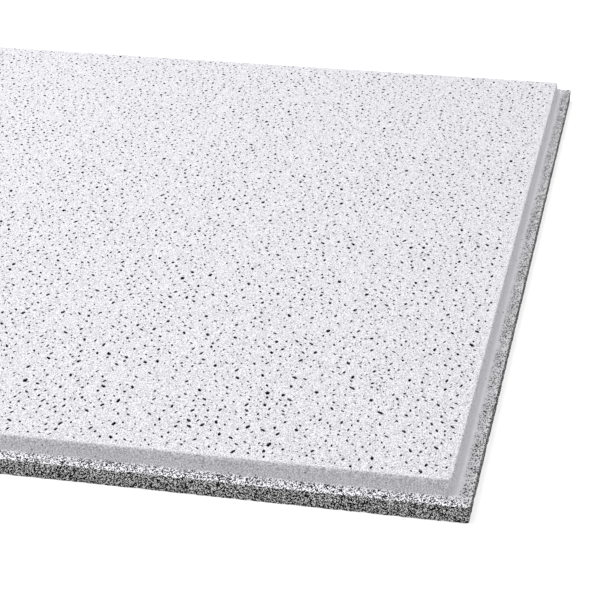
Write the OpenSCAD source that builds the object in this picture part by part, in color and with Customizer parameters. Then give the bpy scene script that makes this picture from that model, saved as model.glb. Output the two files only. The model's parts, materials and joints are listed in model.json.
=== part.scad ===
// Suspended ceiling tile: a mineral fibre board with a stepped edge and a fissured face.
// It lies on its back with the finished face up, and the origin is at the middle of the back.

/* [Board] */
// Width of the board across its back, along X
board_width = 595; // [295:5:1195]
// Length of the board across its back, along Y
board_length = 595; // [295:5:1195]
// Thickness of the board, from its back to its face
board_thickness = 15; // [13:0.5:25]
// Radius of the board's four upright outer corners
board_corner_radius = 1.5; // [0.5:0.25:5]

/* [Stepped edge] */
// Thickness of the flange that lies on the ceiling grid
flange_thickness = 7.6; // [5:0.2:9.6]
// Width of the ledge, from the outer edge to the foot of the wall
ledge_width = 8.25; // [5:0.25:12]
// Lean of the wall from upright, which makes the face narrower than the wall's foot
wall_lean = 7; // [0:1:40]
// Radius of the raised face's four corners
face_corner_radius = 2.25; // [1.5:0.25:8]
// Radius of the softened edge where the wall meets the face
arris_radius = 0.7; // [0.2:0.1:1.5]
// Radius of the paint fillet where the wall meets the ledge
foot_radius = 0.8; // [0.2:0.1:1.5]

/* [Fissures] */
// Mean spacing of the fissures over the face
fissure_pitch = 23; // [20:1:60]
// Length of the longest fissure
fissure_length = 4.5; // [1.5:0.1:7]
// Width of the widest fissure
fissure_width = 1.7; // [0.8:0.1:4]
// Depth of the deepest fissure
fissure_depth = 3; // [1:0.25:5]
// Direction that the fissures are drawn out in, from the width towards the length
fissure_direction = 110; // [0:5:175]
// How far a fissure may turn to either side of that direction
fissure_spread = 35; // [0:5:90]
// Plain border between the softened edge and the nearest fissure
fissure_margin = 1.5; // [0.5:0.25:20]
// Seed of the scatter, so that a tile can be made with another pattern
fissure_seed = 7; // [1:1:999]

/* [Hidden] */

// Painted white, as the face is
tile_colour = [0.91, 0.91, 0.93];
// Straight steps in each rounded edge, and sides of a full turn at the corners
arc_steps = 3;
corner_sides = 64;
// How far the fissure cutters stand above the face
cutter_rise = 1;
// A fissure is at least these shares of its longest, widest and deepest
least_length = 0.55;
least_width = 0.6;
least_depth = 0.5;
// A fissure has this many corners, or one fewer
most_corners = 5;
// How far a fissure's corners come in from its oval, as a share of the oval
outline_bite = 0.5;
// How far a corner turns round the oval from its even place, as a share of the even step
outline_shift = 0.3;
// Random draws that each fissure takes before those of its outline, and the step between seeds
outline_draws = 7;
seed_step = 1000;

// The wall's height, its run across the slope, and the angle that each rounded edge turns through
wall_height = board_thickness - flange_thickness;
wall_run = wall_height * tan(wall_lean);
edge_turn = 90 - wall_lean;
// Distance from the sharp edge to where each rounding starts
arris_tangent = arris_radius * tan(edge_turn / 2);
foot_tangent = foot_radius * tan(edge_turn / 2);

// Spans between the centres of the outer corners, and between those of the face's corners
flange_span = [board_width, board_length] - 2 * board_corner_radius * [1, 1];
face_inset = ledge_width + wall_run;
face_span = [board_width, board_length] - 2 * (face_inset + face_corner_radius) * [1, 1];

// Sections from the corner centres outwards, as [reach, height] from the back to the top
flange_section = [
    [board_corner_radius, 0],
    [board_corner_radius, flange_thickness]
];
foot_centre = [
    face_corner_radius + wall_run + foot_tangent,
    flange_thickness + foot_radius
];
arris_centre = [
    face_corner_radius - arris_tangent,
    board_thickness - arris_radius
];
panel_section = concat(
    [[foot_centre.x, 0]],
    arc(foot_centre, foot_radius, 270, 270 - edge_turn),
    arc(arris_centre, arris_radius, wall_lean, 90)
);

// The field of fissures: its size, its columns and rows, and the size of one cell
field = [board_width, board_length]
    - 2 * (face_inset + arris_tangent + fissure_margin) * [1, 1];
field_cells = [for (side = field) max(1, floor(side / fissure_pitch))];
cell = [field.x / field_cells.x, field.y / field_cells.y];

// Points on an arc about a centre
function arc(centre, radius, from, to) = [
    for (i = [0:arc_steps])
        let (angle = from + (to - from) * i / arc_steps)
            centre + radius * [cos(angle), sin(angle)]
];

// A value between a least share and the whole
function part_of(whole, least, draw) = whole * (least + (1 - least) * draw);

// An oval with a few corners, each drawn in and shifted by its own draws
function fissure_outline(length, width, bites, shifts) = [
    for (i = [0:len(bites) - 1])
        let (
            angle = 360 / len(bites) * (i + outline_shift * (shifts[i] - 0.5)),
            reach = 1 - outline_bite * bites[i]
        )
            reach / 2 * [length * cos(angle), width * sin(angle)]
];

// A slab with four rounded corners, from the spans between their centres and a section
module rounded_slab(span, section) {
    slab_bar(span.x, span.y, section);
    rotate(90) slab_bar(span.y, span.x, section);
    for (quarter = [0:3]) {
        side_x = quarter == 0 || quarter == 3 ? 1 : -1;
        side_y = quarter < 2 ? 1 : -1;
        translate([side_x * span.x / 2, side_y * span.y / 2, 0])
            rotate(90 * quarter)
                slab_corner(section);
    }
}

// The section on both sides of a span, drawn out along Y
module slab_bar(span, length, section) {
    right = [for (point = section) [span / 2 + point.x, point.y]];
    left = [for (i = [len(right) - 1:-1:0]) [-right[i].x, right[i].y]];
    rotate([90, 0, 0])
        linear_extrude(length, center = true)
            polygon(concat(right, left));
}

// The section turned through a quarter about a corner's centre
module slab_corner(section) {
    foot = [0, section[0].y];
    top = [0, section[len(section) - 1].y];
    rotate_extrude(angle = 90, $fn = corner_sides)
        polygon(concat([foot], section, [top]));
}

// One blind fissure, at its own place in a cell of the field
module fissure(column, row) {
    number = column + row * field_cells.x;
    draws = rands(0, 1, outline_draws + 2 * most_corners, fissure_seed + seed_step * number);
    corners = draws[0] < 0.5 ? most_corners - 1 : most_corners;
    length = part_of(fissure_length, least_length, draws[1]);
    width = part_of(fissure_width, least_width, draws[2]);
    depth = part_of(fissure_depth, least_depth, draws[3]);
    turn = fissure_direction + fissure_spread * (2 * draws[4] - 1);
    spare = [for (side = cell) max(0, side - fissure_length)];
    x = cell.x * (column + 0.5) + spare.x * (draws[5] - 0.5) - field.x / 2;
    y = cell.y * (row + 0.5) + spare.y * (draws[6] - 0.5) - field.y / 2;
    bites = [for (i = [0:corners - 1]) draws[outline_draws + i]];
    shifts = [for (i = [0:corners - 1]) draws[outline_draws + most_corners + i]];
    translate([x, y, board_thickness - depth])
        rotate(turn)
            linear_extrude(depth + cutter_rise)
                polygon(fissure_outline(length, width, bites, shifts));
}

// The board: flange and raised face in one, with the fissures cut into the face
module ceiling_tile() {
    color(tile_colour)
        difference() {
            union() {
                rounded_slab(flange_span, flange_section);
                rounded_slab(face_span, panel_section);
            }
            for (column = [0:field_cells.x - 1], row = [0:field_cells.y - 1])
                fissure(column, row);
        }
}

ceiling_tile();
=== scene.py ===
"""A suspended ceiling tile of painted mineral fibre, lying face up on a pale studio floor.

The solid gives the board's outline, its stepped edge and its larger fissures.
Around them this add-on makes the finished board as one closed skin: a face pierced by thousands of
small pits, painted walls, a rough ledge with thin paint, and bare fibre on the outer edge and the back.
"""

import json
import math
from functools import partial

import bmesh
import bpy
import numpy as np
from bpy.props import FloatProperty, FloatVectorProperty, IntProperty, PointerProperty
from mathutils import Matrix, Vector, kdtree, noise


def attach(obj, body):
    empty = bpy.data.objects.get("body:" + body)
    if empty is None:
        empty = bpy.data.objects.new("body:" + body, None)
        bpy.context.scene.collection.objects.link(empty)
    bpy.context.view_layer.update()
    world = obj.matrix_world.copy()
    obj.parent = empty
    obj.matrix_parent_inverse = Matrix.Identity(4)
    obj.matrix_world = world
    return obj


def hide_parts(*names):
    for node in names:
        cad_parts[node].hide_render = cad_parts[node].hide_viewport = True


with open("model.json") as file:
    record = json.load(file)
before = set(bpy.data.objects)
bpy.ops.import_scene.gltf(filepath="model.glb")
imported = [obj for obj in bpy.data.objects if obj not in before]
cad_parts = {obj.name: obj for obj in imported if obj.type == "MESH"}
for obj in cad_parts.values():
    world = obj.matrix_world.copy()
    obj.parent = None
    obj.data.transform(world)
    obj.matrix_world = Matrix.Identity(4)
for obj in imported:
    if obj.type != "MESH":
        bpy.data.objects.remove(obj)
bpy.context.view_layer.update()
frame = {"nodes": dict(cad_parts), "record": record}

bl_info = {
    "name": "Suspended ceiling tile",
    "version": (1, 0, 0),
    "blender": (4, 5, 0),
    "location": "View3D > Sidebar > Ceiling tile",
    "description": "Builds a painted mineral fibre ceiling tile and its studio stage",
    "category": "Object",
}

NODE = "ceiling_tile"
MM = 0.001
# Points closer than this are one point
SAME = 2e-6
# Edges that turn by more than this are drawn sharp
SHARP = math.radians(40)
# Width of the sensor that the lens is given for, in millimetres
SENSOR = 36
# Step between the layers of the edge's noise, so that no two are alike
LAYER_STEP = 31.7
# How textures are drawn out along the length, as the fibres lie
DRAWN_OUT = (1, 0.55, 1)

# What a point of the face's plan belongs to
PATCH, FISSURE, BORDER = range(3)
# Order of the materials on the edge band
PAINT, OVERSPRAY, CUT, BACK = range(4)
# Inputs of the pits: those that each size of pit has for itself, and those that all share
PIT_SIZES = ("Density", "Spacing", "Shortest", "Longest")
PIT_SHAPES = ("Narrowest", "Widest", "Bite", "Direction", "Spread")
# Columns and rows of the solid's fissures in one patch of the face
PATCH_CELLS = 3
# How a patch's edge strays: how far, in how many steps and how clear of the fissures
STRAY, STRAY_STEPS, STRAY_CLEARANCE = 5 * MM, 9, 0.6 * MM
# How often an edge is drawn anew before it stays straight, and the seed of the draws
STRAY_TRIES, STRAY_SEED = 400, 5
# Attributes that only the making of the mesh needs
WORKING = ("kind", "patch", "own_patch", "depth", "centre", "length", "pit", "id")


def linear(code):
    """An sRGB hex code as linear red, green and blue."""
    parts = [int(code[i:i + 2], 16) / 255 for i in (1, 3, 5)]
    return tuple(c / 12.92 if c <= 0.04045 else ((c + 0.055) / 1.055) ** 2.4 for c in parts)


def per_metre(size_mm):
    """A texture's scale, from the size of its grains in millimetres."""
    return 1 / (size_mm * MM)


def in_use(sockets, name=None):
    """The first socket in use, of this name if one is given."""
    return next(s for s in sockets if s.enabled and name in (None, s.name))


def add_node(tree, kind, inputs=None, **settings):
    """Adds a node, sets it and fills its inputs.

    An input takes a value, a socket, a node whose first output in use is meant, or a list to join.
    """
    node = tree.nodes.new(kind)
    for name, value in settings.items():
        setattr(node, name, value)
    for key, given in (inputs or {}).items():
        target = node.inputs[key] if isinstance(key, int) else in_use(node.inputs, key)
        for value in given if isinstance(given, list) else [given]:
            if isinstance(value, bpy.types.Node):
                value = in_use(value.outputs)
            if isinstance(value, bpy.types.NodeSocket):
                tree.links.new(value, target)
            else:
                target.default_value = value
    return node


class FaceSettings(bpy.types.PropertyGroup):
    """Sizes of the pits that pierce the painted face."""

    large_density: FloatProperty(
        name="Large density", description="Large pits tried on each square metre", default=22000, min=0)
    large_spacing: FloatProperty(
        name="Large spacing", description="Least distance between the middles of two large pits",
        default=5.5 * MM, unit="LENGTH")
    large_shortest: FloatProperty(
        name="Large shortest", description="Length of the shortest large pit",
        default=3 * MM, unit="LENGTH")
    large_longest: FloatProperty(
        name="Large longest", description="Length of the longest large pit",
        default=5.4 * MM, unit="LENGTH")
    small_density: FloatProperty(
        name="Small density", description="Small pits tried on each square metre", default=70000, min=0)
    small_spacing: FloatProperty(
        name="Small spacing", description="Least distance between the middles of two small pits",
        default=3.9 * MM, unit="LENGTH")
    small_shortest: FloatProperty(
        name="Small shortest", description="Length of the shortest small pit",
        default=2.4 * MM, unit="LENGTH")
    small_longest: FloatProperty(
        name="Small longest", description="Length of the longest small pit",
        default=3.8 * MM, unit="LENGTH")
    pin_density: FloatProperty(
        name="Pin density", description="Pin holes tried on each square metre", default=84000, min=0)
    pin_spacing: FloatProperty(
        name="Pin spacing", description="Least distance between the middles of two pin holes",
        default=2.7 * MM, unit="LENGTH")
    pin_shortest: FloatProperty(
        name="Pin shortest", description="Length of the shortest pin hole",
        default=1.6 * MM, unit="LENGTH")
    pin_longest: FloatProperty(
        name="Pin longest", description="Length of the longest pin hole",
        default=2.6 * MM, unit="LENGTH")
    narrowest: FloatProperty(
        name="Narrowest", description="Least width, as a share of the length",
        default=0.36, subtype="FACTOR")
    widest: FloatProperty(
        name="Widest", description="Greatest width, as a share of the length",
        default=0.56, subtype="FACTOR")
    bite: FloatProperty(
        name="Bite", description="How far a corner may come in from its oval",
        default=0.42, subtype="FACTOR")
    direction: FloatProperty(
        name="Direction", description="Direction that the pits are drawn out in, from the width",
        default=math.radians(102), unit="ROTATION")
    spread: FloatProperty(
        name="Spread", description="How far a pit may turn to either side of that direction",
        default=math.radians(35), unit="ROTATION")
    clearance: FloatProperty(
        name="Clearance", description="Least gap between a pit and a larger one",
        default=0.25 * MM, unit="LENGTH")
    seed: IntProperty(name="Seed", description="Seed of the scatter", default=11, min=0)


class EdgeSettings(bpy.types.PropertyGroup):
    """Sizes of the edge's mesh, of its roughness and of the paint on the ledge."""

    spacing: FloatProperty(
        name="Spacing", description="Distance between points along the rough edge",
        default=1.9 * MM, unit="LENGTH")
    border: FloatProperty(
        name="Plain border", description="Width of the strip along the face's edge that has no pits",
        default=0.8 * MM, unit="LENGTH")
    grit: FloatProperty(
        name="Grit", description="Depth of the roughness on the bare outer edge",
        default=0.35 * MM, unit="LENGTH")
    chip: FloatProperty(
        name="Chips", description="Depth of the chips along the rims", default=0.6 * MM, unit="LENGTH")
    nick: FloatProperty(
        name="Nicks", description="Height of the nicks along the rims", default=0.6 * MM, unit="LENGTH")
    ledge_grit: FloatProperty(
        name="Ledge grit", description="Depth of the roughness on the ledge",
        default=0.18 * MM, unit="LENGTH")
    foot_side: FloatProperty(
        name="Side foot", description="Radius of the paint in the foot of the left and right walls",
        default=1.6 * MM, unit="LENGTH")
    foot_front: FloatProperty(
        name="Front foot", description="Radius of the paint in the foot of the front and back walls",
        default=0.35 * MM, unit="LENGTH")
    strip_side: FloatProperty(
        name="Paint on side ledges", description="Width of the paint on the left and right ledges",
        default=2.3 * MM, unit="LENGTH")
    strip_front: FloatProperty(
        name="Paint on front ledges", description="Width of the paint on the front and back ledges",
        default=0.3 * MM, unit="LENGTH")
    strip_fade: FloatProperty(
        name="Paint fade", description="Width over which the paint on the ledge thins out",
        default=2.7 * MM, unit="LENGTH")


class FinishSettings(bpy.types.PropertyGroup):
    """Colours of the board."""

    paint: FloatVectorProperty(
        name="Paint", description="White paint on the high grains", size=3,
        default=linear("#fbfaff"), subtype="COLOR", min=0, max=1)
    paint_shade: FloatVectorProperty(
        name="Paint in hollows", description="The same paint between its grains", size=3,
        default=linear("#aeadb3"), subtype="COLOR", min=0, max=1)
    # Greyer than the paint: a thin coat, and painted shade on the left and right ledges
    thin_paint_and_shade: FloatVectorProperty(
        name="Thin paint", description="Thin coat on the left and right ledges", size=3,
        default=linear("#d1d0d3"), subtype="COLOR", min=0, max=1)
    prick: FloatVectorProperty(
        name="Pricks", description="Tiny pores that the paint has nearly closed", size=3,
        default=linear("#6b6a6f"), subtype="COLOR", min=0, max=1)
    fibre_light: FloatVectorProperty(
        name="Light fibre", description="Pale fibres and binder in the bare board", size=3,
        default=linear("#f6f6f6"), subtype="COLOR", min=0, max=1)
    fibre_dark: FloatVectorProperty(
        name="Dark fibre", description="Pores and dark shot in the bare board", size=3,
        default=linear("#161616"), subtype="COLOR", min=0, max=1)
    # Nearly black: the bare board with painted shade for the depth of the pits
    pit: FloatVectorProperty(
        name="Pits", description="Bare board inside the pits", size=3,
        default=linear("#0e0e0f"), subtype="COLOR", min=0, max=1)


class StageSettings(bpy.types.PropertyGroup):
    """The camera, the lights and the floor."""

    camera_place: FloatVectorProperty(
        name="Camera", description="Where the camera stands", size=3,
        default=(0.36306, -0.9854, 0.40364), subtype="TRANSLATION")
    camera_turn: FloatProperty(
        name="Turn", description="How far the camera turns left from looking along +Y",
        default=math.radians(11.363), unit="ROTATION")
    camera_drop: FloatProperty(
        name="Drop", description="How far the camera looks down",
        default=math.radians(23.698), unit="ROTATION")
    camera_roll: FloatProperty(
        name="Roll", description="How far the camera is tipped about its own axis",
        default=math.radians(0.346), unit="ROTATION")
    lens: FloatProperty(
        name="Lens", description="Focal length in millimetres on a 36 mm sensor", default=113.62)
    sky: FloatProperty(
        name="Sky", description="Strength of the even light from all round", default=0.52)
    softbox_place: FloatVectorProperty(
        name="Softbox", description="Where the soft light hangs", size=3,
        default=(-1.0, 0.08, 1.9), subtype="TRANSLATION")
    softbox_size: FloatProperty(
        name="Softbox size", description="Side of the square soft light", default=2, unit="LENGTH")
    softbox_power: FloatProperty(
        name="Softbox power", description="Power of the soft light", default=44.8, unit="POWER")
    floor: FloatVectorProperty(
        name="Floor", description="Pale floor", size=3,
        default=linear("#e6e6e6"), subtype="COLOR", min=0, max=1)
    floor_lift: FloatProperty(
        name="Floor lift", description="Light added to the floor as the camera sees it", default=0.6)


def read_solid():
    """The solid's points without doubles and its triangles without slivers, in metres."""
    mesh = frame["nodes"][NODE].data
    mesh.calc_loop_triangles()
    points = np.empty(len(mesh.vertices) * 3)
    mesh.vertices.foreach_get("co", points)
    corners = np.empty(len(mesh.loop_triangles) * 3, dtype=np.int32)
    mesh.loop_triangles.foreach_get("vertices", corners)
    points, numbers = np.unique(np.round(points.reshape(-1, 3), 6), axis=0, return_inverse=True)
    triangles = numbers.reshape(-1)[corners].reshape(-1, 3)
    whole = (triangles != np.roll(triangles, 1, axis=1)).all(axis=1)
    return points, triangles[whole]


def read_section(points):
    """The edge's section and corner radii, measured on the solid.

    Returns the board's half sizes, the height of its ledge, the outline of the raised part as
    (inset from the board's edge, height) from the ledge to the face, and the radii of the outer
    corners and of the face's corners.
    """
    half = points.max(axis=0)[:2]
    top = points[:, 2].max()
    mounts = {m["name"]: m for m in frame["record"]["mounts"]}
    ledge = mounts["ledge_front"]["pos_m"][2]
    face = points[points[:, 2] > top - SAME]
    face_half = face.max(axis=0)[:2]
    face_inset = half[0] - face_half[0]
    on_ledge = points[abs(points[:, 2] - ledge) < SAME]
    insets = (half - abs(on_ledge[:, :2])).min(axis=1)
    profile = [(insets[insets > face_inset / 2].min(), ledge)]
    for height in np.unique(points[points[:, 2] > ledge + SAME][:, 2]):
        reach = points[abs(points[:, 2] - height) < SAME][:, 0].max()
        if reach > face_half[0] - SAME and height > profile[-1][1] + 2 * SAME:
            profile.append((half[0] - reach, height))
    base = points[points[:, 2] < SAME]
    outer_radius = half[1] - base[base[:, 0] > half[0] - SAME][:, 1].max()
    face_radius = face_half[1] - face[face[:, 0] > face_half[0] - SAME][:, 1].max()
    return half, ledge, profile, outer_radius, face_radius


def read_fissures(points, triangles):
    """The outline and the depth of each fissure in the solid's face."""
    top = points[:, 2].max()
    on_face = triangles[(points[triangles][:, :, 2] > top - SAME).all(axis=1)]
    sides = {(int(a), int(b)) for t in on_face for a, b in zip(t, np.roll(t, -1))}
    following = {a: b for a, b in sorted(sides) if (b, a) not in sides}
    loops = []
    while following:
        start, number = following.popitem()
        loop = [start]
        while number != start:
            loop.append(number)
            number = following.pop(number)
        loops.append(points[loop])
    # The widest loop is the face's own outline
    loops.sort(key=lambda loop: np.ptp(loop[:, 0]))
    plan = kdtree.KDTree(len(points))
    for number, (x, y, _) in enumerate(points):
        plan.insert((x, y, 0), number)
    plan.balance()
    fissures = []
    for loop in loops[:-1]:
        below = plan.find_range((loop[0][0], loop[0][1], 0), 5 * SAME)
        fissures.append((loop, top - min(points[number][2] for _, number, _ in below)))
    return fissures


def ring(half, radius, columns, corner_columns):
    """Points and outward normals round a rectangle with round corners, from the right side on."""
    points, normals = [], []
    for side in range(4):
        turn = Matrix.Rotation(side * math.pi / 2, 2)
        out, along = half[side % 2], half[1 - side % 2] - radius
        count = columns[1 - side % 2]
        for i in range(count):
            points.append(turn @ Vector((out, along * (2 * i / count - 1))))
            normals.append(turn @ Vector((1, 0)))
        for i in range(corner_columns):
            angle = math.pi / 2 * i / corner_columns
            normal = Vector((math.cos(angle), math.sin(angle)))
            points.append(turn @ (Vector((out - radius, along)) + normal * radius))
            normals.append(turn @ normal)
    return np.array(points), np.array(normals)


def at_height(flat, height):
    """Points of a plan, raised to a height."""
    return np.column_stack((flat, np.full(len(flat), height)))


def grain(place, size_mm, layer):
    """Smooth noise from -1 to 1 with grains of one size. Each layer is a noise of its own."""
    return noise.noise(Vector(place) * per_metre(size_mm) + Vector((0, 0, LAYER_STEP * layer)))


def raised_outline(profile, radius, steps):
    """The raised part's outline with a foot of another radius, as (inset, height) from the ledge up."""
    # The wall is the outline's longest stretch, and the foot turns from the ledge into it
    top = max(range(1, len(profile)), key=lambda i: math.dist(profile[i - 1], profile[i]))
    (inset, height), (wall_inset, wall_height) = profile[top - 1:top + 1]
    ledge = profile[0][1]
    turn = math.atan2(wall_height - height, wall_inset - inset)
    start = inset - (height - ledge) / math.tan(turn) - radius * math.tan(turn / 2)
    angles = [turn * i / steps for i in range(steps + 1)]
    foot = [(start + radius * math.sin(a), ledge + radius * (1 - math.cos(a))) for a in angles]
    return foot + profile[top:]


def rough_side(points, normals, ledge, share, settings):
    """A row of the bare outer edge, worn in from the true outline and nicked along its two rims."""
    grit_mm, chip_mm, nick_mm = 2.2, 5.5, 3.1
    # Chips are sparser than nicks: each is cut where its noise is above this
    chip_from, nick_from = 0.2, -0.1
    height = ledge * share
    inwards = 1 if share < 0.5 else -1
    # The wear at a rim fades out over a quarter of the height
    near_rim = max(0, 1 - 4 * min(share, 1 - share))
    row = []
    for (x, y), (nx, ny) in zip(points, normals):
        place = (x, y, height)
        depth = settings.grit * (0.5 + 0.5 * grain(place, grit_mm, 1))
        depth += settings.chip * near_rim * max(0, grain(place, chip_mm, 2) - chip_from)
        nick = settings.nick * near_rim * max(0, grain(place, nick_mm, 3) - nick_from)
        row.append((x - nx * depth, y - ny * depth, height + inwards * nick))
    return np.array(row)


def rough_ledge(outer, inner, share, settings):
    """A row of the ledge, between its outer rim and the foot of the wall."""
    grit_mm = 2.6
    # The roughness starts at the rim and is gone before the foot
    rim_share = 0.15
    row = outer + (inner - outer) * share
    for place in row:
        fall = settings.ledge_grit * (0.5 + 0.5 * grain(place, grit_mm, 4))
        place[2] -= fall * math.sin(math.pi * min(1, share + rim_share))
    return row


def edge_rows(section, settings):
    """The rows of the edge band from the back to the face, and how far each column faces left or right.

    A row has points, columns, the material below it and its paint cover. The smooth raised rows have
    only one in a few of the rough ones' columns along the sides.
    """
    half, ledge, profile, outer_radius, face_radius = section
    one_in = 4
    columns = [one_in * round(2 * h / one_in / settings.spacing) for h in half]
    corner_columns = 5
    side_rows, ledge_rows, foot_rows = 4, 5, 4
    outline, normals = ring(half, outer_radius, columns, corner_columns)
    every = list(range(len(outline)))
    bare = np.zeros(len(outline))
    back, _ = ring(half - outer_radius, outer_radius / 3, columns, corner_columns)
    rows = [(at_height(back, 0), every, BACK, bare)]
    for i in range(side_rows + 1):
        row = rough_side(outline, normals, ledge, i / side_rows, settings)
        rows.append((row, every, CUT if i else BACK, bare))
    rim = rows[-1][0]
    # More paint runs into the foot of the left and right walls, and it reaches farther out there
    sideways = normals[:, 0] ** 2
    strip = settings.strip_front + (settings.strip_side - settings.strip_front) * sideways
    outlines = (raised_outline(profile, radius, foot_rows)
                for radius in (settings.foot_front, settings.foot_side))
    centre_inset = face_radius + profile[-1][0]
    raised = []
    for levels in zip(*outlines):
        front, side = (
            at_height(ring(half - inset, centre_inset - inset, columns, corner_columns)[0], height)
            for inset, height in levels)
        raised.append(front + (side - front) * sideways[:, None])
    for i in range(1, ledge_rows):
        share = i / ledge_rows
        cover = np.clip((strip - profile[0][0] * (1 - share)) / settings.strip_fade, 0, 1)
        rows.append((rough_ledge(rim, raised[0], share, settings), every, OVERSPRAY, cover))
    cover = np.clip(strip / settings.strip_fade, 0, 1)
    sparse, start = [], 0
    for side in range(4):
        stop = start + columns[1 - side % 2]
        sparse += [*range(start, stop, one_in), *range(stop, stop + corner_columns)]
        start = stop + corner_columns
    for number, row in enumerate(raised):
        fall = (profile[-1][1] - row[:, 2]) / (profile[-1][1] - ledge)
        rows.append((row[sparse], sparse, PAINT if number else OVERSPRAY, (cover * fall)[sparse]))
    return rows, sideways


def edge_band(rows, sideways):
    """The board's edge and back as a mesh, stitched from its rows."""
    around = len(rows[0][1])
    starts = np.cumsum([0] + [len(row[1]) for row in rows])
    faces, materials = [tuple(reversed(range(around)))], [BACK]
    for number, (below, above) in enumerate(zip(rows, rows[1:])):
        fewer = min(below[1], above[1], key=len)
        for first, last in zip(fewer, fewer[1:] + [around]):
            sides = []
            for start, row in ((starts[number], below), (starts[number + 1], above)):
                a, b = np.searchsorted(row[1], (first, last))
                sides.append([int(start + i % len(row[1])) for i in range(a, b + 1)])
            faces.append((*sides[0], *reversed(sides[1])))
            materials.append(above[2])
    mesh = bpy.data.meshes.new("edge_band")
    mesh.from_pydata(np.concatenate([row[0] for row in rows]).tolist(), [], faces)
    mesh.polygons.foreach_set("material_index", materials)
    cover = mesh.attributes.new("paint_cover", "FLOAT", "POINT")
    cover.data.foreach_set("value", np.concatenate([row[3] for row in rows]))
    side = mesh.attributes.new("side_ledge", "FLOAT", "POINT")
    # The back is one wide face, so the value stops at its rim
    values = [np.zeros(around), *(sideways[row[1]] for row in rows[1:])]
    side.data.foreach_set("value", np.concatenate(values))
    return mesh


def patch_lines(fissures, axis, count, limit):
    """Lines across the face, one after every few of the solid's columns of fissures, that cut none."""
    spans = sorted((loop[:, axis].min(), loop[:, axis].max()) for loop, _ in fissures)
    each = len(spans) // count
    lines = [-limit]
    for number in range(PATCH_CELLS * each, each * count, PATCH_CELLS * each):
        before = max(high for _, high in spans[:number])
        after = spans[number][0]
        if before > after:
            raise RuntimeError("The solid's fissures don't stand in columns and rows")
        lines.append((before + after) / 2)
    return lines + [limit]


def straying_edge(rims, axis, line, start, end, draws):
    """Points of a patch's edge between two of its corners, which strays to both sides of a line.

    A straight edge would show from above as a line without pits. Each fissure stays on its own side.
    """
    places = np.linspace(start, end, STRAY_STEPS + 1)
    along, away = rims[:, 1 - axis], rims[:, axis] - line
    near = (along > start) & (along < end) & (abs(away) < 2 * STRAY)
    along, away = along[near], away[near]
    # At a corner the line itself may pass closer to a fissure
    clear = np.minimum(STRAY_CLEARANCE, abs(away) / 2)
    for _ in range(STRAY_TRIES):
        strays = draws.uniform(-STRAY, STRAY, STRAY_STEPS + 1)
        strays[[0, -1]] = 0
        if ((away - np.interp(along, places, strays)) * np.sign(away) > clear).all():
            edge = np.column_stack((places, line + strays)[::1 if axis else -1])
            return edge[1:-1].tolist()
    return []


def patch_grid(xs, ys, top, fissures):
    """Points and faces of the patches between the lines across the face."""
    wide, rim_points = len(xs), 6
    # A few points on each side of each fissure's outline
    rims = np.concatenate([loop + (np.roll(loop, -1, axis=0) - loop) * share for loop, _ in fissures
                           for share in np.linspace(0, 1, rim_points, endpoint=False)])
    draws = np.random.default_rng(STRAY_SEED)
    points = [(x, y, top) for y in ys for x in xs]
    chains = {}
    for axis, lines, crossing, step in ((1, ys, xs, 1), (0, xs, ys, wide)):
        for i, line in enumerate(lines):
            inside = 0 < i < len(lines) - 1
            for j, (start, end) in enumerate(zip(crossing, crossing[1:])):
                first = i * wide + j if axis else j * wide + i
                edge = straying_edge(rims, axis, line, start, end, draws) if inside else []
                numbers = range(len(points), len(points) + len(edge))
                points += [(x, y, top) for x, y in edge]
                chains[first, first + step] = [first, *numbers]
                chains[first + step, first] = [first + step, *reversed(numbers)]
    faces = []
    for row in range(len(ys) - 1):
        for i in range(row * wide, row * wide + wide - 1):
            around = (i, i + 1, i + 1 + wide, i + wide, i)
            faces.append(tuple(number for pair in zip(around, around[1:]) for number in chains[pair]))
    return points, faces


def face_plan(section, fissures, outline, border):
    """A plan of the face: patches with a few fissures in each, and the border strip round them."""
    half, _, profile, _, _ = section
    inset, top = profile[-1]
    limits = half - inset - border
    across = round(math.sqrt(len(fissures) * half[0] / half[1]))
    xs = patch_lines(fissures, 0, across, limits[0])
    ys = patch_lines(fissures, 1, len(fissures) // across, limits[1])
    points, faces = patch_grid(xs, ys, top, fissures)
    loops = []
    for loop, depth in fissures:
        x, y, _ = loop.mean(axis=0)
        patch = np.searchsorted(xs, x) - 1 + (np.searchsorted(ys, y) - 1) * (len(xs) - 1)
        loops.append((loop, FISSURE, patch, depth))
    corners = [(x, ys[0], top) for x in xs] + [(xs[-1], y, top) for y in ys[1:]]
    corners += [(x, ys[-1], top) for x in xs[-2::-1]] + [(xs[0], y, top) for y in ys[-2:0:-1]]
    count = len(faces)
    loops += [(np.array(corners), BORDER, count, 0), (outline, BORDER, count, 0)]
    edges = []
    values = {"kind": [PATCH] * len(points), "patch": [0] * len(points), "depth": [0] * len(points)}
    centres = [(0, 0, top)] * len(points)
    for loop, kind, patch, depth in loops:
        numbers = range(len(points), len(points) + len(loop))
        points += loop.tolist()
        if kind == FISSURE:
            faces.append(tuple(numbers))
        else:
            edges += zip(numbers, (*numbers[1:], numbers[0]))
        centres += [loop.mean(axis=0)] * len(loop)
        for name, value in (("kind", kind), ("patch", patch), ("depth", depth)):
            values[name] += [value] * len(loop)
    mesh = bpy.data.meshes.new("face_plan")
    mesh.from_pydata(points, edges, faces)
    for name, value in values.items():
        kind = "FLOAT" if name == "depth" else "INT"
        mesh.attributes.new(name, kind, "POINT").data.foreach_set("value", value)
    mesh.attributes.new("centre", "FLOAT_VECTOR", "POINT").data.foreach_set("vector", np.ravel(centres))
    mesh.attributes.new("own_patch", "INT", "FACE").data.foreach_set("value", range(len(faces)))
    return mesh


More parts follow.
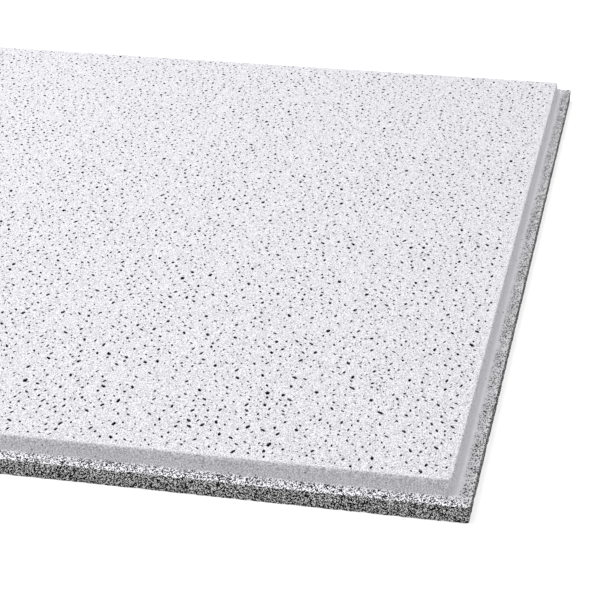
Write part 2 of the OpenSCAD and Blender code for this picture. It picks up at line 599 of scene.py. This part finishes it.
def new_tree(name, inputs):
    """A Geometry Nodes tree with a geometry in and out and the named inputs."""
    tree = bpy.data.node_groups.new(name, "GeometryNodeTree")
    tree.interface.new_socket("Geometry", in_out="INPUT", socket_type="NodeSocketGeometry")
    for label, kind in inputs.items():
        tree.interface.new_socket(label, in_out="INPUT", socket_type="NodeSocket" + kind)
    tree.interface.new_socket("Geometry", in_out="OUTPUT", socket_type="NodeSocketGeometry")
    return tree, tree.nodes.new("NodeGroupInput").outputs, tree.nodes.new("NodeGroupOutput").inputs


def pit_outlines_tree():
    """Outlines of pits: scattered at a least spacing, each turned and sized by its own draws.

    A pit that would cross the edge of a patch is left out, so that each patch is filled by itself.
    """
    # A pit is at least this deep, as a share of its length
    shallowest = 0.4
    # A pit reaches half its length from its middle, and keeps a little clear of the patch's edge
    reach_share = 0.52
    inputs = {**dict.fromkeys(PIT_SIZES + PIT_SHAPES, "Float"), "Corners": "Int", "Seed": "Int"}
    tree, given, result = new_tree("Pit outlines", inputs)
    add = partial(add_node, tree)
    place = add("GeometryNodeInputPosition")
    own = add("GeometryNodeInputNamedAttribute", {"Name": "own_patch"}, data_type="INT")
    length = add("GeometryNodeInputNamedAttribute", {"Name": "length"}, data_type="FLOAT")
    centre = add("GeometryNodeInputNamedAttribute", {"Name": "centre"}, data_type="FLOAT_VECTOR")

    patches = add("GeometryNodeStoreNamedAttribute",
                  {"Geometry": given["Geometry"], "Name": "patch", "Value": own},
                  data_type="INT", domain="FACE")
    spots = add("GeometryNodeDistributePointsOnFaces",
                {"Mesh": patches, "Distance Min": given["Spacing"], "Density Max": given["Density"],
                 "Seed": given["Seed"]}, distribute_method="POISSON")
    draw = add("FunctionNodeRandomValue", {"Min": given["Shortest"], "Max": given["Longest"], "Seed": 1})
    spots = add("GeometryNodeStoreNamedAttribute", {"Geometry": spots, "Name": "length", "Value": draw})
    draw = add("FunctionNodeRandomValue", {"Min": shallowest, "Max": 1.0, "Seed": 2})
    deep = add("ShaderNodeMath", {0: length, 1: draw}, operation="MULTIPLY")
    spots = add("GeometryNodeStoreNamedAttribute", {"Geometry": spots, "Name": "depth", "Value": deep})
    spots = add("GeometryNodeStoreNamedAttribute", {"Geometry": spots, "Name": "centre", "Value": place},
                data_type="FLOAT_VECTOR")
    line = add("GeometryNodeProximity", {"Geometry": patches}, target_element="EDGES")
    reach = add("ShaderNodeMath", {0: length, 1: reach_share}, operation="MULTIPLY")
    across = add("FunctionNodeCompare", {"A": line.outputs["Distance"], "B": reach},
                 operation="LESS_THAN")
    spots = add("GeometryNodeDeleteGeometry", {"Geometry": spots, "Selection": across})

    draw = add("FunctionNodeRandomValue", {"Min": given["Narrowest"], "Max": given["Widest"], "Seed": 3})
    width = add("ShaderNodeMath", {0: length, 1: draw}, operation="MULTIPLY")
    size = add("ShaderNodeCombineXYZ", {"X": length, "Y": width, "Z": 1.0})
    draw = add("FunctionNodeRandomValue", {"Min": -1.0, "Max": 1.0, "Seed": 4})
    angle = add("ShaderNodeMath", {0: draw, 1: given["Spread"], 2: given["Direction"]},
                operation="MULTIPLY_ADD")
    angle = add("ShaderNodeCombineXYZ", {"Z": angle})
    turn = add("FunctionNodeEulerToRotation", {0: angle})
    oval = add("GeometryNodeMeshCircle", {"Vertices": given["Corners"], "Radius": 0.5}, fill_type="NGON")
    pits = add("GeometryNodeInstanceOnPoints",
               {"Points": spots, "Instance": oval, "Rotation": turn, "Scale": size})
    pits = add("GeometryNodeRealizeInstances", {"Geometry": pits})
    draw = add("FunctionNodeRandomValue", {"Min": 0.0, "Max": given["Bite"], "Seed": 5})
    inwards = add("ShaderNodeVectorMath", {0: centre, 1: place}, operation="SUBTRACT")
    inwards = add("ShaderNodeVectorMath", {0: inwards, "Scale": draw}, operation="SCALE")
    pits = add("GeometryNodeSetPosition", {"Geometry": pits, "Offset": inwards})
    tree.links.new(pits.outputs[0], result[0])
    return tree


def pierced_face_tree(inputs, paint, bare):
    """The painted face with its fissures, pits and pin holes, closed by the edge band to one skin."""
    tree, given, result = new_tree("Pierced face", {"Edge band": "Object", "Top": "Float", **inputs})
    add = partial(add_node, tree)
    outlines = pit_outlines_tree()
    place = add("GeometryNodeInputPosition")
    kind = add("GeometryNodeInputNamedAttribute", {"Name": "kind"}, data_type="INT")
    own = add("GeometryNodeInputNamedAttribute", {"Name": "own_patch"}, data_type="INT")
    patch = add("GeometryNodeInputNamedAttribute", {"Name": "patch"}, data_type="INT")
    length = add("GeometryNodeInputNamedAttribute", {"Name": "length"}, data_type="FLOAT")
    depth = add("GeometryNodeInputNamedAttribute", {"Name": "depth"}, data_type="FLOAT")
    centre = add("GeometryNodeInputNamedAttribute", {"Name": "centre"}, data_type="FLOAT_VECTOR")
    in_pit = add("GeometryNodeInputNamedAttribute", {"Name": "pit"}, data_type="BOOLEAN")

    def scattered(prefix, corners, larger):
        """Outlines of pits of one size, clear of the larger ones."""
        sizes = {label: given[f"{prefix} {label.lower()}"] for label in PIT_SIZES}
        shapes = {label: given[label] for label in (*PIT_SHAPES, "Seed")}
        pits = add("GeometryNodeGroup", {"Geometry": patches, "Corners": corners, **sizes, **shapes},
                   node_tree=outlines)
        near = add("GeometryNodeProximity", {"Geometry": larger, "Sample Position": centre},
                   target_element="FACES")
        reach = add("ShaderNodeMath", {0: length, 1: 0.5, 2: given["Clearance"]},
                    operation="MULTIPLY_ADD")
        close = add("FunctionNodeCompare", {"A": near.outputs["Distance"], "B": reach},
                    operation="LESS_THAN")
        return add("GeometryNodeDeleteGeometry", {"Geometry": pits, "Selection": close})

    def sunk(pits, rims, taper, share):
        """Adds walls from rims that go in towards each pit's middle and down by a share of its depth."""
        walls = add("GeometryNodeExtrudeMesh", {"Mesh": pits, "Selection": rims, "Offset Scale": 0.0},
                    mode="EDGES")
        spoke = add("ShaderNodeVectorMath", {0: place, 1: centre}, operation="SUBTRACT")
        fall = add("ShaderNodeMath", {0: depth, 1: -share}, operation="MULTIPLY")
        fall = add("ShaderNodeCombineXYZ", {"Z": fall})
        fall = add("ShaderNodeVectorMath", {0: centre, 1: fall}, operation="ADD")
        goal = add("ShaderNodeVectorMath", {0: spoke, 1: (taper, taper, 0), 2: fall},
                   operation="MULTIPLY_ADD")
        moved = add("GeometryNodeSetPosition",
                    {"Geometry": walls, "Selection": walls.outputs["Top"], "Position": goal})
        return moved, walls.outputs["Top"]

    parts = []
    for what in (PATCH, FISSURE, BORDER):
        same = add("FunctionNodeCompare", {"A": kind, "B": what}, data_type="INT", operation="EQUAL")
        parts.append(add("GeometryNodeSeparateGeometry",
                         {"Geometry": given["Geometry"], "Selection": same}))
    patches, fissures, border = parts
    pits = scattered("Large", 5, fissures)
    for prefix, corners in (("Small", 5), ("Pin", 4)):
        larger = add("GeometryNodeJoinGeometry", {"Geometry": [fissures, pits]})
        pits = add("GeometryNodeJoinGeometry", {"Geometry": [pits, scattered(prefix, corners, larger)]})

    # Each patch is filled by itself, because the time to fill grows with the square of the outlines
    split = add("GeometryNodeSplitEdges", {"Mesh": patches})
    split = add("GeometryNodeStoreNamedAttribute", {"Geometry": split, "Name": "patch", "Value": own},
                data_type="INT")
    lines = add("GeometryNodeJoinGeometry", {"Geometry": [split, border, fissures, pits]})
    lines = add("GeometryNodeMeshToCurve", {"Mesh": lines})
    skin = add("GeometryNodeFillCurve", {"Curve": lines, "Group ID": patch}, mode="TRIANGLES")
    lift = add("ShaderNodeCombineXYZ", {"Z": given["Top"]})
    skin = add("GeometryNodeSetPosition", {"Geometry": skin, "Offset": lift})

    rims = [add("GeometryNodeDeleteGeometry", {"Geometry": part}, domain="FACE", mode="ONLY_FACE")
            for part in (fissures, pits)]
    # A fissure has steep walls and a blunt point below them, and a pit is one cone
    wall_taper, wall_share = 0.8, 0.7
    walls, bottoms = sunk(rims[0], True, wall_taper, wall_share)
    walls, _ = sunk(walls, bottoms, 0.0, 1.0)
    cones, _ = sunk(rims[1], True, 0.0, 1.0)
    hollows = add("GeometryNodeJoinGeometry", {"Geometry": [walls, cones]})
    hollows = add("GeometryNodeStoreNamedAttribute", {"Geometry": hollows, "Name": "pit", "Value": True},
                  data_type="BOOLEAN", domain="FACE")
    face = add("GeometryNodeJoinGeometry", {"Geometry": [skin, hollows]})
    face = add("GeometryNodeSetMaterial", {"Geometry": face, "Material": paint})
    band = add("GeometryNodeObjectInfo", {"Object": given["Edge band"]})
    board = add("GeometryNodeJoinGeometry", {"Geometry": [face, band.outputs["Geometry"]]})
    board = add("GeometryNodeMergeByDistance", {"Geometry": board, "Distance": SAME})
    board = add("GeometryNodeRealizeInstances", {"Geometry": board})
    # The pits get the bare fibre with painted shade in their depth
    board = add("GeometryNodeSetMaterial", {"Geometry": board, "Selection": in_pit, "Material": bare})
    tree.links.new(board.outputs[0], result[0])
    return tree


def new_material(name):
    """An empty material. Returns it, its adder of nodes and its object coordinates."""
    material = bpy.data.materials.new(name)
    material.use_nodes = True
    material.node_tree.nodes.clear()
    add = partial(add_node, material.node_tree)
    return material, add, add("ShaderNodeTexCoord").outputs["Object"]


def sprayed_emulsion(colours):
    """Matt white paint on the face and the walls."""
    # White emulsion sprayed on in a thin coat and dried matt over coarse fibre. It gives an even
    # white with a fine dry grain that is drawn out along the board, and pricks where pores show
    # through. In the foot of the side walls the coat is thicker and closes its grain. The real
    # grain is about 0.3 mm and is drawn at 0.55 mm so that it shows.
    grain_mm, prick_mm, relief_mm = 0.55, 2.4, 0.15
    material, add, place = new_material("sprayed_white_emulsion")
    drawn = add("ShaderNodeVectorMath", {0: place, 1: DRAWN_OUT}, operation="MULTIPLY")
    grains = add("ShaderNodeTexNoise",
                 {"Vector": drawn, "Scale": per_metre(grain_mm), "Detail": 2.0, "Roughness": 0.6})
    height = add("ShaderNodeMapRange", {"Value": grains.outputs[0], "From Min": 0.36, "From Max": 0.62})
    thick = add("ShaderNodeAttribute", attribute_name="paint_cover").outputs["Fac"]
    height = add("ShaderNodeMath", {0: height, 1: thick}, operation="MAXIMUM")
    colour = add("ShaderNodeMix",
                 {"Factor": height, "A": (*colours.paint_shade, 1), "B": (*colours.paint, 1)},
                 data_type="RGBA")
    # A prick lies in the middle of a cell, dark in some cells, fainter in others and none in the rest
    pores = add("ShaderNodeTexVoronoi", {"Vector": drawn, "Scale": per_metre(prick_mm)})
    near = add("ShaderNodeMapRange",
               {"Value": pores.outputs["Distance"], "From Min": 0.2, "From Max": 0.13})
    pick = add("ShaderNodeSeparateColor", {"Color": pores.outputs["Color"]})
    pick = add("ShaderNodeMapRange", {"Value": pick, "From Min": 0.75, "From Max": 0.1})
    prick = add("ShaderNodeMath", {0: near, 1: pick}, operation="MULTIPLY")
    colour = add("ShaderNodeMix", {"Factor": prick, "A": colour, "B": (*colours.prick, 1)},
                 data_type="RGBA")
    bump = add("ShaderNodeBump",
               {"Height": grains.outputs[0], "Strength": 0.42, "Distance": relief_mm * MM})
    shader = add("ShaderNodeBsdfPrincipled",
                 {"Base Color": colour, "Roughness": 0.9, "Specular IOR Level": 0.3, "Normal": bump})
    add("ShaderNodeOutputMaterial", {"Surface": shader})
    return material


def fibre_grains(add, place, size_mm):
    """Random values in grains of one size, drawn out along the board as its fibres are."""
    drawn = add("ShaderNodeVectorMath", {0: place, 1: DRAWN_OUT}, operation="MULTIPLY")
    cells = add("ShaderNodeTexVoronoi", {"Vector": drawn, "Scale": per_metre(size_mm)})
    return add("ShaderNodeSeparateColor", {"Color": cells.outputs["Color"]})


def thin_overspray(colours):
    """Cut fibre under the thin edge of the spray, on the ledge."""
    # Mineral fibre sawn to a ledge and caught by the edge of the spray. On the front and back ledges
    # paint lies only on the high fibres, white between bare dark pores. The side ledges have a more
    # even and greyer coat that closes up towards the wall; their grey is partly a thinner coat and
    # partly painted shade that darkens the side ledges against the front and back ones.
    # The real pores are about 0.3 mm and are drawn at 0.4 mm so that they show.
    pore_mm, drift_mm, relief_mm = 0.4, 9, 0.2
    # How far the cover drifts, and how far the cover and a side ledge close the pores
    drift_most, cover_closes, side_closes = 0.12, 0.6, 0.17
    material, add, place = new_material("oversprayed_mineral_fibre")
    grains = fibre_grains(add, place, pore_mm)
    cover = add("ShaderNodeAttribute", attribute_name="paint_cover").outputs["Fac"]
    side = add("ShaderNodeAttribute", attribute_name="side_ledge").outputs["Fac"]
    drift = add("ShaderNodeTexNoise", {"Vector": place, "Scale": per_metre(drift_mm), "Detail": 2.0})
    drift = add("ShaderNodeMapRange", {"Value": drift.outputs[0], "From Min": 0.3, "From Max": 0.7,
                                       "To Min": -drift_most, "To Max": drift_most})
    cover = add("ShaderNodeMath", {0: cover, 1: drift}, operation="ADD")
    closed = add("ShaderNodeMath", {0: side, 1: side_closes, 2: grains}, operation="MULTIPLY_ADD")
    height = add("ShaderNodeMath", {0: cover, 1: cover_closes, 2: closed}, operation="MULTIPLY_ADD")
    pale = add("ShaderNodeMapRange", {"Value": height, "From Min": 0.36, "From Max": 0.54})
    # Painted shade with the thin coat: where the cover is low, the side ledges turn towards this greyer
    # colour
    thin = add("ShaderNodeMath", {0: side, 1: cover}, operation="SUBTRACT", use_clamp=True)
    light = add("ShaderNodeMix",
                {"Factor": thin, "A": (*colours.paint, 1), "B": (*colours.thin_paint_and_shade, 1)},
                data_type="RGBA")
    colour = add("ShaderNodeMix", {"Factor": pale, "A": (*colours.fibre_dark, 1), "B": light},
                 data_type="RGBA")
    bump = add("ShaderNodeBump", {"Height": pale, "Strength": 0.7, "Distance": relief_mm * MM})
    shader = add("ShaderNodeBsdfPrincipled",
                 {"Base Color": colour, "Roughness": 0.95, "Specular IOR Level": 0.2, "Normal": bump})
    add("ShaderNodeOutputMaterial", {"Surface": shader})
    return material


def bare_fibre(name, colours, size_mm, low, high, relief_mm):
    """Bare mineral fibre with a grain of pale fibres and dark pores, with more dark pores at the left and
    right sides as painted shade.
    """
    # Painted shade: the left and right sides get more dark pores, so they are darker than the front and
    # back
    side_shade = -0.12
    material, add, place = new_material(name)
    grains = fibre_grains(add, place, size_mm)
    side = add("ShaderNodeAttribute", attribute_name="side_ledge").outputs["Fac"]
    height = add("ShaderNodeMath", {0: side, 1: side_shade, 2: grains}, operation="MULTIPLY_ADD")
    pale = add("ShaderNodeMapRange", {"Value": height, "From Min": low, "From Max": high})
    colour = add("ShaderNodeMix",
                 {"Factor": pale, "A": (*colours.fibre_dark, 1), "B": (*colours.fibre_light, 1)},
                 data_type="RGBA")
    bump = add("ShaderNodeBump", {"Height": pale, "Strength": 0.7, "Distance": relief_mm * MM})
    shader = add("ShaderNodeBsdfPrincipled",
                 {"Base Color": colour, "Roughness": 0.95, "Specular IOR Level": 0.2, "Normal": bump})
    add("ShaderNodeOutputMaterial", {"Surface": shader})
    return material


def pit_fibre_and_shade(colours, top):
    """Bare board inside the pits, darkened with painted shade in their depth."""
    # Mineral fibre torn by the needles that pierce the face. The spray only reaches under the rim,
    # unevenly, so a pit is pale grey at its lip. Below that it is nearly black: the bare fibre with
    # painted shade for the depth of the pit.
    rag_mm, least_wash, most_wash = 1.2, 0.1 * MM, 0.9 * MM
    material, add, place = new_material("bare_fibre_and_shade_in_pits")
    grains = add("ShaderNodeTexNoise", {"Vector": place, "Scale": per_metre(rag_mm), "Detail": 1.0})
    ragged = add("ShaderNodeMapRange", {"Value": grains.outputs[0], "From Min": 0.3, "From Max": 0.7,
                                        "To Min": top - least_wash, "To Max": top - most_wash})
    height = add("ShaderNodeSeparateXYZ", {"Vector": place}).outputs["Z"]
    wash = add("ShaderNodeMapRange", {"Value": height, "From Min": ragged, "From Max": top})
    colour = add("ShaderNodeMix",
                 {"Factor": wash, "A": (*colours.pit, 1), "B": (*colours.paint_shade, 1)},
                 data_type="RGBA")
    shader = add("ShaderNodeBsdfPrincipled",
                 {"Base Color": colour, "Roughness": 0.95, "Specular IOR Level": 0.1})
    add("ShaderNodeOutputMaterial", {"Surface": shader})
    return material


def plain_object(name, mesh):
    """Links a mesh to the scene as an object at the origin."""
    obj = bpy.data.objects.new(name, mesh)
    bpy.context.scene.collection.objects.link(obj)
    return obj


def drop_unused_slots(mesh):
    """Keeps only the material slots that some face uses."""
    uses = np.empty(len(mesh.polygons), dtype=np.int32)
    mesh.polygons.foreach_get("material_index", uses)
    kept, uses = np.unique(uses, return_inverse=True)
    materials = [mesh.materials[int(slot)] for slot in kept]
    mesh.materials.clear()
    for material in materials:
        mesh.materials.append(material)
    mesh.polygons.foreach_set("material_index", uses)


def close_skin(mesh):
    """Turns all faces outwards, tests that the skin has no gaps, and shades it."""
    skin = bmesh.new()
    skin.from_mesh(mesh)
    bmesh.ops.dissolve_degenerate(skin, dist=SAME, edges=skin.edges)
    bmesh.ops.recalc_face_normals(skin, faces=skin.faces)
    gaps = sum(len(edge.link_faces) != 2 for edge in skin.edges)
    outwards = skin.calc_volume(signed=True) > 0
    skin.to_mesh(mesh)
    skin.free()
    if gaps or not outwards:
        raise RuntimeError(f"The board's skin isn't closed: {gaps} edges without two faces")
    mesh.set_sharp_from_angle(angle=SHARP)


class OBJECT_OT_ceiling_tile_board(bpy.types.Operator):
    """Build the finished board around the solid's outline, edge and fissures"""

    bl_idname = "object.ceiling_tile_board"
    bl_label = "Board"

    def execute(self, context):
        face, edge = context.scene.ceiling_tile_face, context.scene.ceiling_tile_edge
        colours = context.scene.ceiling_tile_finish
        points, triangles = read_solid()
        section = read_section(points)
        top = section[2][-1][1]
        rows, sideways = edge_rows(section, edge)
        plan_mesh = face_plan(section, read_fissures(points, triangles), rows[-1][0], edge.border)
        band_mesh = edge_band(rows, sideways)
        paint = sprayed_emulsion(colours)
        band_mesh.materials.append(paint)
        band_mesh.materials.append(thin_overspray(colours))
        # Sawn through and left bare: a rough, torn surface in dull grey salt and pepper. The real
        # fibres and pores are about 0.2 mm and are drawn at 0.34 mm so that they show.
        band_mesh.materials.append(bare_fibre("sawn_mineral_fibre", colours, 0.34, 0.635, 0.71, 0.2))
        # As it left the felting line: flatter than a sawn surface, with a softer and coarser mottle
        band_mesh.materials.append(bare_fibre("felted_mineral_fibre", colours, 1.4, -0.2, 1.3, 0.15))

        band = plain_object("edge_band", band_mesh)
        plan = plain_object("face_plan", plan_mesh)
        properties = {key: face.bl_rna.properties[key] for key in FaceSettings.__annotations__}
        inputs = {p.name: "Int" if p.type == "INT" else "Float" for p in properties.values()}
        modifier = plan.modifiers.new("pierced_face", "NODES")
        modifier.node_group = pierced_face_tree(inputs, paint, pit_fibre_and_shade(colours, top))
        values = {p.name: getattr(face, key) for key, p in properties.items()}
        values.update({"Edge band": band, "Top": top})
        for item in modifier.node_group.interface.items_tree:
            if item.in_out == "INPUT" and item.name in values:
                modifier[item.identifier] = values[item.name]
        evaluated = plan.evaluated_get(context.evaluated_depsgraph_get())
        mesh = bpy.data.meshes.new_from_object(evaluated)
        mesh.name = "finished_board"
        bpy.data.objects.remove(plan)
        bpy.data.objects.remove(band)
        for name in WORKING:
            mesh.attributes.remove(mesh.attributes[name])
        drop_unused_slots(mesh)
        close_skin(mesh)

        board = plain_object("finished_board", mesh)
        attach(board, "root")
        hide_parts(NODE)
        return {"FINISHED"}


class OBJECT_OT_ceiling_tile_stage(bpy.types.Operator):
    """Set up the floor, the soft light and the camera"""

    bl_idname = "object.ceiling_tile_stage"
    bl_label = "Stage"

    def execute(self, context):
        scene, settings = context.scene, context.scene.ceiling_tile_stage
        scene.view_settings.view_transform = "Standard"

        # A matt floor that the camera sees as white but for the board's shadow. It is clear from below
        # and within the gap under the board, so that the back can be looked at too.
        reach, gap = 6.0, 0.2 * MM
        clear_within = 5 * gap
        corners = [(x * reach, y * reach, -gap) for x, y in ((-1, -1), (1, -1), (1, 1), (-1, 1))]
        floor_mesh = bpy.data.meshes.new("studio_floor")
        floor_mesh.from_pydata(corners, [], [(0, 1, 2, 3)])
        floor = plain_object("studio_floor", floor_mesh)
        material = bpy.data.materials.new("matt_white_floor")
        material.use_nodes = True
        material.node_tree.nodes.clear()
        add = partial(add_node, material.node_tree)
        rays = add("ShaderNodeLightPath")
        seen = add("ShaderNodeMath", {0: rays.outputs["Is Camera Ray"], 1: rays.outputs["Is Glossy Ray"]},
                   operation="MAXIMUM")
        lift = add("ShaderNodeMath", {0: seen, 1: settings.floor_lift}, operation="MULTIPLY")
        glow = add("ShaderNodeEmission", {"Strength": lift})
        matt = add("ShaderNodeBsdfDiffuse", {"Color": (*settings.floor, 1)})
        lit = add("ShaderNodeAddShader", {0: matt, 1: glow})
        below = add("ShaderNodeNewGeometry").outputs["Backfacing"]
        close = add("ShaderNodeMath", {0: rays.outputs["Ray Length"], 1: clear_within},
                    operation="LESS_THAN")
        clear = add("ShaderNodeMath", {0: below, 1: close}, operation="MAXIMUM")
        both = add("ShaderNodeMixShader", {0: clear, 1: lit, 2: add("ShaderNodeBsdfTransparent")})
        add("ShaderNodeOutputMaterial", {"Surface": both})
        floor_mesh.materials.append(material)

        scene.world = bpy.data.worlds.new("studio_sky")
        scene.world.use_nodes = True
        scene.world.node_tree.nodes.clear()
        add = partial(add_node, scene.world.node_tree)
        rays = add("ShaderNodeLightPath")
        seen = add("ShaderNodeMath", {0: rays.outputs["Is Camera Ray"], 1: rays.outputs["Is Glossy Ray"]},
                   operation="MAXIMUM")
        strength = add("ShaderNodeMix", {"Factor": seen, "A": settings.sky, "B": 1.0}, data_type="FLOAT")
        sky = add("ShaderNodeBackground", {"Color": (1, 1, 1, 1), "Strength": strength})
        add("ShaderNodeOutputWorld", {"Surface": sky})

        light = bpy.data.lights.new("softbox", "AREA")
        light.size = settings.softbox_size
        light.energy = settings.softbox_power
        softbox = bpy.data.objects.new("softbox", light)
        softbox.location = settings.softbox_place
        softbox.rotation_euler = (-softbox.location).to_track_quat("-Z", "Y").to_euler()
        scene.collection.objects.link(softbox)

        lens = bpy.data.cameras.new("photo_camera")
        lens.lens = settings.lens
        lens.sensor_width = SENSOR
        camera = bpy.data.objects.new("photo_camera", lens)
        camera.matrix_world = (
            Matrix.Translation(settings.camera_place)
            @ Matrix.Rotation(settings.camera_turn, 4, "Z")
            @ Matrix.Rotation(math.pi / 2 - settings.camera_drop, 4, "X")
            @ Matrix.Rotation(settings.camera_roll, 4, "Z"))
        scene.collection.objects.link(camera)
        scene.camera = camera
        return {"FINISHED"}


class VIEW3D_PT_ceiling_tile(bpy.types.Panel):
    """The tile's steps and settings"""

    bl_label = "Ceiling tile"
    bl_idname = "VIEW3D_PT_ceiling_tile"
    bl_space_type = "VIEW_3D"
    bl_region_type = "UI"
    bl_category = "Ceiling tile"

    def draw(self, context):
        for operator in OPERATORS:
            self.layout.operator(operator.bl_idname)
        for name, group in GROUPS.items():
            box = self.layout.box()
            for key in group.__annotations__:
                box.prop(getattr(context.scene, name), key)


GROUPS = {
    "ceiling_tile_face": FaceSettings,
    "ceiling_tile_edge": EdgeSettings,
    "ceiling_tile_finish": FinishSettings,
    "ceiling_tile_stage": StageSettings,
}
OPERATORS = (OBJECT_OT_ceiling_tile_board, OBJECT_OT_ceiling_tile_stage)
CLASSES = (*GROUPS.values(), *OPERATORS, VIEW3D_PT_ceiling_tile)


def register():
    for cls in CLASSES:
        bpy.utils.register_class(cls)
    for name, group in GROUPS.items():
        setattr(bpy.types.Scene, name, PointerProperty(type=group))


def unregister():
    for name in GROUPS:
        delattr(bpy.types.Scene, name)
    for cls in reversed(CLASSES):
        bpy.utils.unregister_class(cls)


def main():
    register()
    bpy.ops.object.ceiling_tile_board()
    bpy.ops.object.ceiling_tile_stage()


if __name__ == "__main__":
    main()
